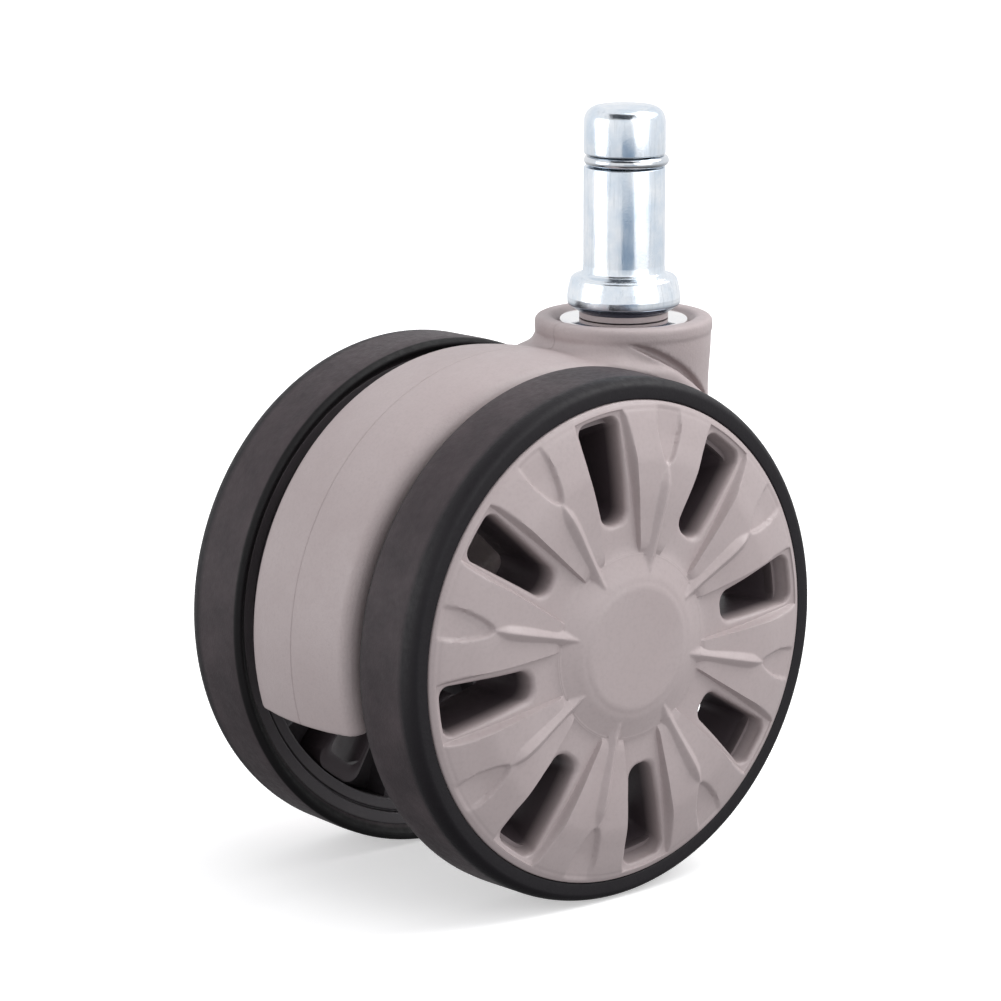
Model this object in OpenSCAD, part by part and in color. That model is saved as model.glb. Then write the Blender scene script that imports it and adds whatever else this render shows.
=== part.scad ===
// Twin-wheel chair caster: two cupped wheels on one axle, a hooded swivel housing between them,
// and a plug-in stem with a grip ring.
// Frame: the origin is on the stem axis, where the straight shaft meets the collar's flare.
// +Z runs up the stem, the axle lies along Y, and the axle trails the stem towards -X.
// The right wheel is on -Y and the left wheel is its mirror image on +Y.

/* [Layout] */
// How far the axle trails behind the stem axis
trail = 19.3; // [18:0.1:21]
// How far the axle lies below the origin
drop = 39.5; // [38.5:0.1:42]

/* [Wheel] */
// Wheel diameter over the tyre
wheel_d = 63.2; // [62.4:0.2:63.6]
// Tyre thickness over the rim
tyre_t = 2.6; // [2.2:0.1:2.8]
// Middle plane to the tyre's inner edge
tyre_in = 11.5; // [11.4:0.1:12]
// Middle plane to the tyre's outer edge, where it meets the cover
tyre_out = 21.4; // [21:0.1:22]
// Radius of the opening in the inner side of the wheel
cup_r = 26.6; // [26:0.1:26.8]
// Thickness of the wheel disc
disc_t = 2.0; // [1.6:0.1:2.4]
// Radius of the wheel hub
hub_r = 6.6; // [6:0.1:8]
// Thickness of the radial ribs inside the wheel
rib_t = 1.6; // [1.2:0.1:2]

/* [Cover] */
// Middle plane to the flat hub disc of the cover
cover_out = 24.6; // [24.2:0.1:25]
// Number of slots, and of petals between them
slots = 8; // [6:1:9]
// Direction of the first slot, from +X towards +Z
slot_a = 8; // [0:1:44]
// Half of the angle that a slot spans
slot_half_a = 6.5; // [5:0.5:7]
// Radius where a slot starts
slot_r0 = 14.95; // [14.5:0.05:16]
// Radius where a slot ends
slot_r1 = 27.8; // [27:0.1:27.9]
// Wall of the tube behind each slot
tube_t = 0.9; // [0.7:0.1:1]
// Depth of the channel around each slot, below the petals
channel_d = 0.75; // [0.5:0.05:1]

/* [Housing] */
// Radius of the hood at its middle
hood_r = 32; // [31.8:0.1:33]
// Half of the hood's width
hood_half_w = 9.5; // [9:0.1:9.8]
// How far the hood curves down towards its edges
hood_crown = 1.0; // [0.5:0.1:1.5]
// Wall of the hood
hood_t = 3.4; // [2.8:0.1:3.8]
// Direction of the hood's free end, from +X towards +Z about the axle
hood_end_a = 197; // [190:1:205]
// Thickness of the web between hood and axle
web_t = 4.8; // [4:0.1:6]
// Radius of the stem boss at its top
boss_r = 10.9; // [10.6:0.1:10.9]
// Height of the boss's top rim
boss_top = -5.4; // [-5.6:0.1:-5.3]
// Height of the boss's bottom
boss_bottom = -34; // [-36:0.5:-33.5]

/* [Stem] */
// Diameter of the plug-in shaft
stem_d = 10; // [9.9:0.05:10.1]
// Length of the straight shaft, up to the grip ring's groove
shaft_l = 12.9; // [12:0.1:14]
// Length of the head above the groove
head_l = 6.0; // [5:0.1:7]
// Height of the grip ring's groove
groove_h = 1.6; // [1.5:0.1:1.8]
// Radius of the collar
collar_r = 6.95; // [6.6:0.05:7.2]
// Diameter of the lower shank, which turns in the housing
shank_d = 8; // [7.8:0.05:8.1]
// Wire diameter of the grip ring
grip_wire = 1.3; // [1.2:0.05:1.35]

/* [Axle] */
// Axle diameter
axle_d = 6; // [5.6:0.1:6.4]
// Radial clearance of a turning fit
run_gap = 0.05; // [0.03:0.01:0.09]
// Gap between faces that turn against each other
face_gap = 0.1; // [0.08:0.01:0.2]

/* [Quality] */
// Segments on a full circle
facets = 96; // [48:12:144]

/* [Hidden] */
$fn = facets;

// Overshoot of a cutter past the face that it cuts
over = 1;
// Slack of a fixed fit, such as a bush in its seat
fixed_gap = 0.02;

wheel_r = wheel_d / 2;
rim_r = wheel_r - tyre_t;
axle_r = axle_d / 2;
stem_r = stem_d / 2;
shank_r = shank_d / 2;

// Along the axle, measured from the middle plane
hub_half_l = 4.5;
spacer_t = 0.85;
spacer_r = 6.0;
wheel_bush_t = 1.35;
ring_depth = 0.5;
ring_r = 5.6;
hub_in = hub_half_l + spacer_t + 2 * face_gap - fixed_gap;
hub_out = 19.0;
ring_t = 1.0;
ring_in = hub_out + face_gap;
axle_end = ring_in + ring_t + 1.2;
rim_in = tyre_in + 1.1;
rim_out = tyre_out - 1.8;
disc_in = rim_out - disc_t;
flange_over = 0.7;
tube_in = rim_in + flange_over;
cover_t = 1.5;
tube_r1 = cup_r - tube_t - 0.15;

// Down the stem
collar_top = -0.5;
collar_edge = -3.9;
collar_foot = -4.9;
collar_foot_r = collar_r - 1.5;
bush_top = boss_top - 0.3;
flange_t = 1.2;
flange_r = 7.95;
bush_wall = 0.95;
bush_bottom = -26.1;
clip_t = 0.8;
clip_depth = 0.7;
ring_stand = 0.2;
clip_top = bush_bottom - 0.6;
stem_bottom = -30;
wear_t = 1.0;
pocket_r = shank_r + 0.3;
bore_bottom = stem_bottom - 2 * face_gap - wear_t;

// Points of an arc about [cx, cy], from angle a0 to a1
function arc(cx, cy, r, a0, a1, n = 8) =
    [for (i = [0:n]) let (a = a0 + (a1 - a0) * i / n) [cx + r * cos(a), cy + r * sin(a)]];
function polar(r, a) = [r * cos(a), r * sin(a)];

// Puts a shape that is drawn about the Z axis on the axle, its +Z towards -Y
module on_axle() {
    translate([-trail, 0, -drop]) rotate([90, 0, 0]) children();
}

// A part of the right wheel, or its mirror image on the left
module left_side() {
    mirror([0, 1, 0]) children();
}

module ring(r_out, r_in, z0, z1) {
    translate([0, 0, z0]) difference() {
        cylinder(r = r_out, h = z1 - z0);
        translate([0, 0, -over]) cylinder(r = r_in, h = z1 - z0 + 2 * over);
    }
}

// ---- Stem and what rides on it ----

module stem() {
    groove_top = shaft_l + groove_h;
    stem_top = groove_top + head_l;
    head_round = 1.8;
    flare = 0.6;
    collar_round = 0.9;
    edge = 0.3;
    tip = 0.6;
    groove_r = stem_r + ring_stand - grip_wire - run_gap;
    clip_groove_r = shank_r - clip_depth;
    clip_bottom = clip_top - clip_t;
    profile = concat(
        [[0, stem_bottom], [shank_r - tip, stem_bottom], [shank_r, stem_bottom + tip]],
        [[shank_r, clip_bottom - run_gap], [clip_groove_r, clip_bottom - run_gap]],
        [[clip_groove_r, clip_top + run_gap], [shank_r, clip_top + run_gap]],
        [[shank_r, collar_foot], [collar_foot_r, collar_foot]],
        arc(collar_r - edge, collar_edge + edge, edge, -60, 0, 3),
        arc(collar_r - collar_round, collar_top - collar_round, collar_round, 0, 75, 5),
        arc(stem_r + flare, collar_top + flare, flare, -90, -180, 6),
        [[stem_r, shaft_l], [groove_r, shaft_l], [groove_r, groove_top], [stem_r, groove_top]],
        arc(stem_r - head_round, stem_top - head_round, head_round, 0, 80, 8),
        [[0, stem_top]]);
    color("lightsteelblue") rotate_extrude() polygon(profile);
}

module grip_ring() {
    gap_a = 30;
    mid_r = stem_r + ring_stand - grip_wire / 2;
    color("silver") rotate([0, 0, gap_a / 2])
        translate([0, 0, shaft_l + groove_h / 2])
        rotate_extrude(angle = 360 - gap_a)
        translate([mid_r, 0]) circle(d = grip_wire, $fn = 32);
}

module thrust_washer() {
    color("rosybrown")
        ring(collar_foot_r, shank_r + run_gap, bush_top + face_gap, collar_foot - fixed_gap);
}

module stem_clip() {
    gap_a = 40;
    reach = 0.85;
    in_r = shank_r - clip_depth + run_gap;
    out_r = shank_r + reach;
    color("dimgray") rotate([0, 0, gap_a / 2]) rotate_extrude(angle = 360 - gap_a)
        translate([in_r, clip_top - clip_t]) square([out_r - in_r, clip_t]);
}

// ---- Housing and what is fixed in it ----

module swivel_bush() {
    sleeve_r = shank_r + run_gap + bush_wall;
    color("gainsboro") difference() {
        union() {
            translate([0, 0, bush_top - flange_t]) cylinder(r = flange_r, h = flange_t);
            translate([0, 0, bush_bottom]) cylinder(r = sleeve_r, h = bush_top - bush_bottom);
        }
        translate([0, 0, bush_bottom - over])
            cylinder(r = shank_r + run_gap, h = bush_top - bush_bottom + 2 * over);
    }
}

module wear_disc() {
    color("silver") translate([0, 0, bore_bottom]) cylinder(r = pocket_r - face_gap, h = wear_t);
}

// Cross-section of the hood: crowned on top, with rounded edges
module hood_profile() {
    corner = 1.8;
    crown_r = (hood_half_w * hood_half_w + hood_crown * hood_crown) / (2 * hood_crown);
    in_r = hood_r - hood_t;
    corner_w = hood_half_w - corner;
    crown_a = asin(corner_w / crown_r);
    corner_r = hood_r - crown_r + crown_r * cos(crown_a) - corner;
    polygon(concat(
        [[in_r, -hood_half_w]],
        arc(corner_r, -corner_w, corner, -90, -crown_a, 5),
        arc(hood_r - crown_r, 0, crown_r, -crown_a, crown_a, 12),
        arc(corner_r, corner_w, corner, crown_a, 90, 5),
        [[in_r, hood_half_w]]));
}

// Lip of the wheel arch where it passes under the boss
module arch_lip() {
    lip_in = hood_r - 0.2;
    lip_out = hood_r + 2.4;
    lip_w = tyre_in - 0.2;
    edge = 0.8;
    lip_a0 = 40;
    lip_a1 = 66;
    rotate([0, 0, lip_a0]) rotate_extrude(angle = lip_a1 - lip_a0) polygon([
        [lip_in, -lip_w], [lip_out - edge, -lip_w], [lip_out, edge - lip_w],
        [lip_out, lip_w - edge], [lip_out - edge, lip_w], [lip_in, lip_w]]);
}

module boss() {
    round_r = 0.9;
    draft = 0.3;
    draft_z = -14.3;
    bottom_round = 3;
    low_r = boss_r - draft;
    rotate_extrude() polygon(concat(
        [[0, boss_bottom], [low_r - bottom_round, boss_bottom]],
        arc(low_r - bottom_round, boss_bottom + bottom_round, bottom_round, -75, 0, 5),
        [[low_r, draft_z]],
        arc(boss_r - round_r, boss_top - round_r, round_r, 0, 90, 5),
        [[0, boss_top]]));
}

// Stem bore, bush seats and the undercut that the stem clip springs into
module boss_bore() {
    seat_r = flange_r + face_gap;
    mouth_r = 9.0;
    mouth_h = 0.9;
    sleeve_r = shank_r + run_gap + bush_wall + fixed_gap;
    undercut_r = shank_r + 1.3;
    undercut_bottom = clip_top - clip_t - 0.6;
    translate([0, 0, bush_top - flange_t]) cylinder(r = seat_r, h = over - bush_top);
    translate([0, 0, boss_top - mouth_h]) cylinder(r1 = seat_r, r2 = mouth_r, h = mouth_h);
    translate([0, 0, boss_top]) cylinder(r = mouth_r, h = over);
    translate([0, 0, bush_bottom]) cylinder(r = sleeve_r, h = -bush_bottom);
    translate([0, 0, undercut_bottom]) cylinder(r = undercut_r, h = bush_bottom - undercut_bottom);
    translate([0, 0, bore_bottom]) cylinder(r = pocket_r, h = bush_bottom - bore_bottom);
}

module housing() {
    hood_start_a = 46;
    web_start_a = 12;
    axle_hub_r = 8;
    web_overlap = 0.8;
    web_r = hood_r - hood_t + web_overlap;
    color("rosybrown") difference() {
        union() {
            boss();
            on_axle() {
                rotate([0, 0, hood_start_a])
                    rotate_extrude(angle = hood_end_a - hood_start_a) hood_profile();
                rotate([0, 0, web_start_a])
                    rotate_extrude(angle = hood_end_a - web_start_a)
                    translate([0, -web_t / 2]) square([web_r, web_t]);
                translate([0, 0, -hub_half_l]) cylinder(r = axle_hub_r, h = 2 * hub_half_l);
                arch_lip();
            }
        }
        boss_bore();
        on_axle() translate([0, 0, -hood_half_w - over])
            cylinder(r = axle_r + fixed_gap, h = 2 * (hood_half_w + over));
    }
}

// ---- Axle and its small parts ----

module axle() {
    groove_r = axle_r - ring_depth;
    chamfer = 0.5;
    ring_end = ring_in + ring_t;
    half = [[axle_r, 0], [axle_r, ring_in - fixed_gap], [groove_r, ring_in - fixed_gap],
            [groove_r, ring_end + fixed_gap], [axle_r, ring_end + fixed_gap],
            [axle_r, axle_end - chamfer], [axle_r - chamfer, axle_end], [0, axle_end]];
    color("silver") on_axle() {
        rotate_extrude() polygon(concat([[0, 0]], half));
        mirror([0, 0, 1]) rotate_extrude() polygon(concat([[0, 0]], half));
    }
}

module right_spacer() {
    color("gainsboro") on_axle()
        ring(spacer_r, axle_r + fixed_gap, hub_half_l + fixed_gap, hub_half_l + fixed_gap + spacer_t);
}

// Split ring that snaps into the axle's groove
module right_retaining_ring() {
    gap_a = 50;
    in_r = axle_r - ring_depth + fixed_gap;
    color("dimgray") on_axle() rotate([0, 0, gap_a / 2]) rotate_extrude(angle = 360 - gap_a)
        translate([in_r, ring_in]) square([ring_r - in_r, ring_t]);
}

module right_wheel_bush() {
    color("gainsboro") on_axle()
        ring(axle_r + run_gap + wheel_bush_t, axle_r + run_gap, hub_in, hub_out);
}

// ---- Wheel ----

// Outline of a slot: a wedge with a round inner end and rounded outer corners, grown all round
function slot_outline(r_end, grow) =
    let (in_round = slot_r0 * sin(slot_half_a) + grow,
         in_c = slot_r0 + slot_r0 * sin(slot_half_a),
         corner = 1.2 + grow / 2,
         out_r = r_end + grow,
         side_y = (out_r - corner) * sin(slot_half_a) + grow)
    concat(arc(in_c, 0, in_round, 270 - slot_half_a, 90 + slot_half_a, 8),
           arc(out_r - corner, side_y - corner, corner, 90, 0, 4),
           arc(out_r - corner, corner - side_y, corner, 0, -90, 4));

// The slots' outlines, extruded along the axle
module slot_prisms(r_end, grow, z0, z1) {
    for (i = [0:slots - 1]) rotate([0, 0, slot_a + i * 360 / slots])
        translate([0, 0, z0]) linear_extrude(z1 - z0) polygon(slot_outline(r_end, grow));
}

module right_wheel_core() {
    groove_r = cup_r + 1.5;
    groove_w = 0.35;
    groove_depth = 0.35;
    lip_r = rim_r + flange_over;
    step = 0.3;
    bush_r = axle_r + run_gap + wheel_bush_t + fixed_gap;
    window_gap = 0.15;
    rib_in = rim_in + 1.6;
    root = 0.5;
    color("darkslategray") on_axle() difference() {
        union() {
            rotate_extrude() polygon([
                [cup_r, rim_in + step], [groove_r, rim_in + step], [groove_r, rim_in],
                [lip_r, rim_in], [lip_r, rim_in + flange_over], [rim_r, rim_in + flange_over],
                [rim_r, rim_out], [hub_r, rim_out], [hub_r, disc_in], [cup_r, disc_in]]);
            translate([0, 0, hub_in]) cylinder(r = hub_r, h = hub_out - hub_in);
            for (i = [0:slots - 1]) rotate([0, 0, slot_a + (i + 0.5) * 360 / slots])
                translate([hub_r - root, -rib_t / 2, rib_in])
                cube([cup_r - hub_r + 2 * root, rib_t, disc_in - rib_in + root]);
        }
        translate([0, 0, hub_in - over]) cylinder(r = bush_r, h = hub_out - hub_in + 2 * over);
        slot_prisms(tube_r1, tube_t + window_gap, disc_in - over, rim_out + over);
        translate([0, 0, rim_in + step - over]) difference() {
            cylinder(r = groove_r, h = over + groove_depth);
            translate([0, 0, -over]) cylinder(r = groove_r - groove_w, h = 3 * over);
        }
    }
}

module right_tyre() {
    edge = 0.5;
    shoulder = 1.4;
    lip_r = rim_r + flange_over;
    color("dimgray") on_axle() rotate_extrude() polygon(concat(
        [[lip_r, rim_in], [wheel_r - edge, tyre_in]],
        arc(wheel_r - edge, tyre_in + edge, edge, -80, 0, 4),
        arc(wheel_r - shoulder, tyre_out - shoulder, shoulder, 0, 90, 8),
        [[rim_r, tyre_out], [rim_r, rim_in + flange_over], [lip_r, rim_in + flange_over]]));
}

// Outer face of the cover, as radii and how far the face lies behind the hub disc there
FACE = [[8, 0.3], [11.2, 1.1], [14.8, 0.8], [18, 0.7], [21.6, 0.85], [25, 1.7], [28, 2.75]];
disc_r = 7.2;
hub_edge_r = 8.2;
petal_r0 = 11.2;
petal_r1 = 28;
rim_edge_r = rim_r - run_gap;

// Solid of revolution under the cover's face, hollow behind, with the face sunk outside the hub
module cover_shell(sink) {
    rim_h = 0.35;
    rim_back = rim_out + run_gap;
    hollow_r = 11;
    hollow_drop = 3.4;
    face = [for (p = FACE) [p.x, cover_out - p.y - (p.x > hub_edge_r ? sink : 0)]];
    rotate_extrude() polygon(concat(
        [[0, cover_out], [disc_r, cover_out]], face,
        [[petal_r1, tyre_out + rim_h], [rim_edge_r, tyre_out], [rim_edge_r, rim_back]],
        [[cup_r, rim_back], [cup_r - 1, rim_out + 1]],
        [[hollow_r, cover_out - hollow_drop], [0, cover_out - cover_t]]));
}

// Plan of one petal, between two slot channels that widen outwards
module petal_plan() {
    channel_w0 = 2.64;
    channel_slope = 0.0515;
    step_a = 180 / slots;
    function edge_a(r) = step_a - asin((channel_w0 + (r - petal_r0) * channel_slope) / r);
    n = 6;
    radii = [for (i = [0:n]) petal_r0 + (petal_r1 - petal_r0) * i / n];
    right_edge = [for (i = [0:n]) polar(radii[i], -edge_a(radii[i]))];
    left_edge = [for (i = [n:-1:0]) polar(radii[i], edge_a(radii[i]))];
    polygon(concat(right_edge, left_edge));
}

module right_cover() {
    tube_root = 2.0;
    color("rosybrown") on_axle() difference() {
        union() {
            cover_shell(channel_d);
            intersection() {
                cover_shell(0);
                for (i = [0:slots - 1]) rotate([0, 0, slot_a + (i + 0.5) * 360 / slots])
                    translate([0, 0, rim_out]) linear_extrude(cover_out - rim_out) petal_plan();
            }
            slot_prisms(tube_r1, tube_t, tube_in, rim_out + tube_root);
        }
        slot_prisms(slot_r1, 0, rim_out + over, cover_out + over);
        slot_prisms(tube_r1, 0, tube_in - over, rim_out + tube_root - 0.5);
    }
}

module left_spacer() left_side() right_spacer();
module left_retaining_ring() left_side() right_retaining_ring();
module left_wheel_bush() left_side() right_wheel_bush();
module left_wheel_core() left_side() right_wheel_core();
module left_tyre() left_side() right_tyre();
module left_cover() left_side() right_cover();

stem();
grip_ring();
thrust_washer();
stem_clip();
swivel_bush();
wear_disc();
housing();
axle();
right_spacer();
left_spacer();
right_retaining_ring();
left_retaining_ring();
right_wheel_core();
left_wheel_core();
right_tyre();
left_tyre();
right_cover();
left_cover();
right_wheel_bush();
left_wheel_bush();
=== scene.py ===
"""Looks of the hooded twin-wheel chair caster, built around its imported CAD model.

Lengths are in millimetres until a mesh is made, and then in metres. A wheel's own coordinates are
polar about the axle: r is the distance from the axle, an angle runs from +X towards +Z, and w is
the distance from the middle plane between the wheels. The right wheel lies at y = -w and the left
wheel, its mirror image, at y = +w.
"""
import math

import bmesh
import bpy
import numpy as np
import openvdb
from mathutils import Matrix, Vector


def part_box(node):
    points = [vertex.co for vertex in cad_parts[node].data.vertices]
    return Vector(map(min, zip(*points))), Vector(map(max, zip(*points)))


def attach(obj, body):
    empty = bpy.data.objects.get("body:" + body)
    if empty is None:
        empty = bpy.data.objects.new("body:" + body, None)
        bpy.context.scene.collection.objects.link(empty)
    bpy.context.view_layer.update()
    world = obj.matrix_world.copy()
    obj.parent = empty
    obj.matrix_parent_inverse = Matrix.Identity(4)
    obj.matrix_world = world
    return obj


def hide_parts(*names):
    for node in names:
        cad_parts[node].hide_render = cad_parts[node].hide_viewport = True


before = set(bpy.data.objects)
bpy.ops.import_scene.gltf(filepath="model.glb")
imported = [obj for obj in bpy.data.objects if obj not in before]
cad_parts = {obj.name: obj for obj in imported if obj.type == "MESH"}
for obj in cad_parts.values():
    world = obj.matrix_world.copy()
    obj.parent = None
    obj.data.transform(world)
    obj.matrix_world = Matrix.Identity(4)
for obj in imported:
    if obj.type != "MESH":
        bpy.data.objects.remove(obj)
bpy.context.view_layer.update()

MM = 0.001
M = 1000.0

# ---- Driving places and sizes, from the CAD frame ----

TYRE_LO, TYRE_HI = [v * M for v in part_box("right_tyre")]
COVER_LO, COVER_HI = [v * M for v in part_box("right_cover")]
CORE_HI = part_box("right_wheel_core")[1] * M
STEM_LO, STEM_HI = [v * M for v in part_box("stem")]
HOUSING_LO, HOUSING_HI = [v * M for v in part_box("housing")]
BUSH_LO, BUSH_HI = [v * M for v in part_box("swivel_bush")]
AXLE_X = (TYRE_LO.x + TYRE_HI.x) / 2
AXLE_Z = (TYRE_LO.z + TYRE_HI.z) / 2
WHEEL_R = (TYRE_HI.x - TYRE_LO.x) / 2
TYRE_IN = -TYRE_HI.y
TYRE_OUT = -TYRE_LO.y
COVER_OUT = -COVER_LO.y
TUBE_IN = -COVER_HI.y
COVER_R = (COVER_HI.x - COVER_LO.x) / 2
STEM_TOP = STEM_HI.z
STEM_BOTTOM = STEM_LO.z
COLLAR_R = STEM_HI.x
BOSS_R = HOUSING_HI.x
BOSS_TOP = HOUSING_HI.z
BUSH_TOP = BUSH_HI.z
HOOD_R = AXLE_X - HOUSING_LO.x
RIM_R = COVER_R + 0.05
RIM_FLANGE = 0.7
RIM_FLANGE_R = RIM_R + RIM_FLANGE
RIM_FACE = TYRE_IN + 1.1
RIM_BACK = TYRE_OUT - 1.8
FLOOR_Z = TYRE_LO.z


# ---- Curves ----

def curve(points):
    """Smooth function through (x, y) points that doesn't overshoot between them."""
    xs = np.array([p[0] for p in points], float)
    ys = np.array([p[1] for p in points], float)
    slope = np.diff(ys) / np.diff(xs)
    tangent = np.zeros_like(xs)
    tangent[0], tangent[-1] = slope[0], slope[-1]
    same = slope[:-1] * slope[1:] > 0
    both = np.where(same, slope[:-1] + slope[1:], 1.0)
    tangent[1:-1] = np.where(same, 2 * slope[:-1] * slope[1:] / both, 0.0)

    def value(x):
        x = np.clip(np.asarray(x, float), xs[0], xs[-1])
        i = np.clip(np.searchsorted(xs, x, side="right") - 1, 0, len(xs) - 2)
        h = xs[i + 1] - xs[i]
        t = (x - xs[i]) / h
        start = (1 + 2 * t) * (1 - t) ** 2 * ys[i] + t * (1 - t) ** 2 * h * tangent[i]
        end = t * t * (3 - 2 * t) * ys[i + 1] + t * t * (t - 1) * h * tangent[i + 1]
        return start + end
    return value


def ease(x):
    """0 below 0, 1 above 1, and an S curve between."""
    x = np.clip(x, 0.0, 1.0)
    return x * x * (3 - 2 * x)


def rounded(corners, steps=6):
    """Outline through (r, z, radius) corners, each rounded by an arc of its radius."""
    points = []
    for i, (x, z, radius) in enumerate(corners):
        if radius == 0 or i in (0, len(corners) - 1):
            points.append((x, z))
            continue
        corner = Vector((x, z))
        to_last = (Vector(corners[i - 1][:2]) - corner).normalized()
        to_next = (Vector(corners[i + 1][:2]) - corner).normalized()
        half = to_last.angle(to_next) / 2
        centre = corner + (to_last + to_next).normalized() * (radius / math.sin(half))
        start = corner + to_last * (radius / math.tan(half)) - centre
        end = corner + to_next * (radius / math.tan(half)) - centre
        swing = math.pi - 2 * half
        for k in range(steps + 1):
            share = k / steps
            arm = start * math.sin((1 - share) * swing) + end * math.sin(share * swing)
            points.append(tuple(centre + arm / math.sin(swing)))
    return points


# ---- Meshes ----

def add_piece(name, verts, faces, body, nodes, slot, merge=0.0):
    """A piece from vertices in millimetres. It rides on body and stands for the CAD nodes."""
    mesh = bpy.data.meshes.new(name)
    mesh.from_pydata((np.asarray(verts, float) * MM).tolist(), [], [list(f) for f in faces])
    bm = bmesh.new()
    bm.from_mesh(mesh)
    if merge:
        bmesh.ops.remove_doubles(bm, verts=bm.verts, dist=merge * MM)
    bmesh.ops.recalc_face_normals(bm, faces=bm.faces)
    for face in bm.faces:
        face.smooth = True
    bm.to_mesh(mesh)
    bm.free()
    piece = bpy.data.objects.new(name, mesh)
    bpy.context.scene.collection.objects.link(piece)
    mesh.materials.append(MATERIALS[slot])
    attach(piece, body)
    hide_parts(*nodes)
    return piece


def sharpen(piece, degrees):
    """Edges that turn by more than this many degrees shade as sharp."""
    piece.data.set_sharp_from_angle(angle=math.radians(degrees))
    return piece


def lathe_grid(outline, turns):
    """Vertices (turns, points, 3) of an outline of (radius, height) swept about +Z."""
    angles = np.radians(360.0 * np.arange(turns) / turns)
    r = np.array([p[0] for p in outline])
    h = np.array([p[1] for p in outline])
    grid = np.empty((turns, len(outline), 3))
    grid[..., 0] = np.cos(angles)[:, None] * r
    grid[..., 1] = np.sin(angles)[:, None] * r
    grid[..., 2] = h
    return grid


def grid_faces(rows, columns, close_rows, close_columns, first=0):
    """Quads between neighbours of a rows x columns grid of vertices, closed round or open."""
    i = np.arange(rows if close_rows else rows - 1)
    j = np.arange(columns if close_columns else columns - 1)
    i, j = np.meshgrid(i, j, indexing="ij")
    next_i = (i + 1) % rows
    next_j = (j + 1) % columns
    quads = [i * columns + j, next_i * columns + j, next_i * columns + next_j, i * columns + next_j]
    return (np.stack(quads, -1).reshape(-1, 4) + first).tolist()


def lathe(outline, turns=192, closed=True):
    """Vertices and faces of a turned solid. A closed outline is a ring's, an open one meets Z."""
    grid = lathe_grid(outline, turns)
    return grid.reshape(-1, 3), grid_faces(turns, len(outline), True, closed)


def on_axle(points, side):
    """Turns points about +Z into points about the axle, with height as w on the given side."""
    p = np.asarray(points)
    return np.stack([p[..., 0] + AXLE_X, side * p[..., 2], p[..., 1] + AXLE_Z], -1)


SIDES = (("right", -1), ("left", 1))


# ---- Materials ----

def linear(*rgb):
    """Linear colour from 0..255 display values."""
    out = []
    for value in rgb:
        c = value / 255
        out.append(c / 12.92 if c <= 0.04045 else ((c + 0.055) / 1.055) ** 2.4)
    return (*out, 1.0)


class Nodes:
    """A small builder for one material's node tree."""

    def __init__(self, name):
        self.material = bpy.data.materials.new(name)
        self.material.use_nodes = True
        self.tree = self.material.node_tree
        self.shader = self.tree.nodes["Principled BSDF"]
        self.place = self.tree.nodes.new("ShaderNodeTexCoord").outputs["Object"]

    def add(self, kind, inputs=(), **settings):
        node = self.tree.nodes.new(kind)
        for key, value in settings.items():
            setattr(node, key, value)
        for key, value in dict(inputs).items():
            if isinstance(value, bpy.types.NodeSocket):
                self.tree.links.new(value, node.inputs[key])
            else:
                node.inputs[key].default_value = value
        return node

    def noise(self, size_mm, detail=3.0, roughness=0.55, stretch=(1, 1, 1)):
        """Noise whose grains are about size_mm across, from 0 to 1."""
        place = self.add("ShaderNodeVectorMath", {0: self.place, 1: stretch}, operation="MULTIPLY")
        settings = {"Vector": place.outputs[0], "Scale": M / size_mm, "Detail": detail,
                    "Roughness": roughness}
        return self.add("ShaderNodeTexNoise", settings).outputs["Fac"]

    def span(self, value, low, high, out_low, out_high):
        """value, stretched from low..high to out_low..out_high and clamped."""
        settings = {"Value": value, "From Min": low, "From Max": high, "To Min": out_low,
                    "To Max": out_high}
        return self.add("ShaderNodeMapRange", settings).outputs["Result"]

    def mix(self, factor, first, second):
        """Two colours mixed by factor."""
        node = self.add("ShaderNodeMix", data_type="RGBA", blend_type="MIX")
        colour_a, colour_b = 6, 7
        for index, value in ((0, factor), (colour_a, first), (colour_b, second)):
            if isinstance(value, bpy.types.NodeSocket):
                self.tree.links.new(value, node.inputs[index])
            else:
                node.inputs[index].default_value = value
        return node.outputs[2]

    def bump(self, height, depth_mm, below=None):
        """Normal of a relief of that depth, over another relief's normal."""
        settings = {"Height": height, "Distance": depth_mm * MM, "Strength": 1.0}
        if below is not None:
            settings["Normal"] = below
        return self.add("ShaderNodeBump", settings).outputs["Normal"]

    def finish(self, **sockets):
        for name, value in sockets.items():
            socket = self.shader.inputs[name.replace("_", " ")]
            if isinstance(value, bpy.types.NodeSocket):
                self.tree.links.new(value, socket)
            else:
                socket.default_value = value
        return self.material


def moulded_plastic(name, colour, shade, roughness, grain_mm, grain_depth, deep=None):
    """Moulded plastic: fine spark-eroded grain, faint cloudy flow marks and a satin gloss.

    With a deep colour, the piece's "depth" attribute fades the surface to it: painted shade for
    deep hollows.
    """
    n = Nodes(name)
    cloud = n.noise(9.0, 4.0)
    fleck = n.noise(grain_mm * 1.6, 2.0)
    tint = n.mix(n.span(cloud, 0.3, 0.7, 0.0, 1.0), colour, shade)
    dark = tuple(c * 0.86 for c in shade[:3]) + (1.0,)
    tint = n.mix(n.span(fleck, 0.45, 0.75, 0.0, 0.35), tint, dark)
    if deep:
        # Painted shade: the surface darkens with its depth below the cover's face, inside the
        # slots.
        depth = n.add("ShaderNodeAttribute", attribute_name="depth").outputs["Fac"]
        tint = n.mix(depth, tint, deep)
    grain = n.bump(n.noise(grain_mm, 2.0), grain_depth)
    flow = n.bump(n.noise(3.5, 2.0), grain_depth * 1.5, grain)
    rough = n.span(n.noise(1.2, 3.0), 0.3, 0.7, roughness - 0.05, roughness + 0.07)
    return n.finish(Base_Color=tint, Roughness=rough, Normal=flow, Specular_IOR_Level=0.5)


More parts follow.
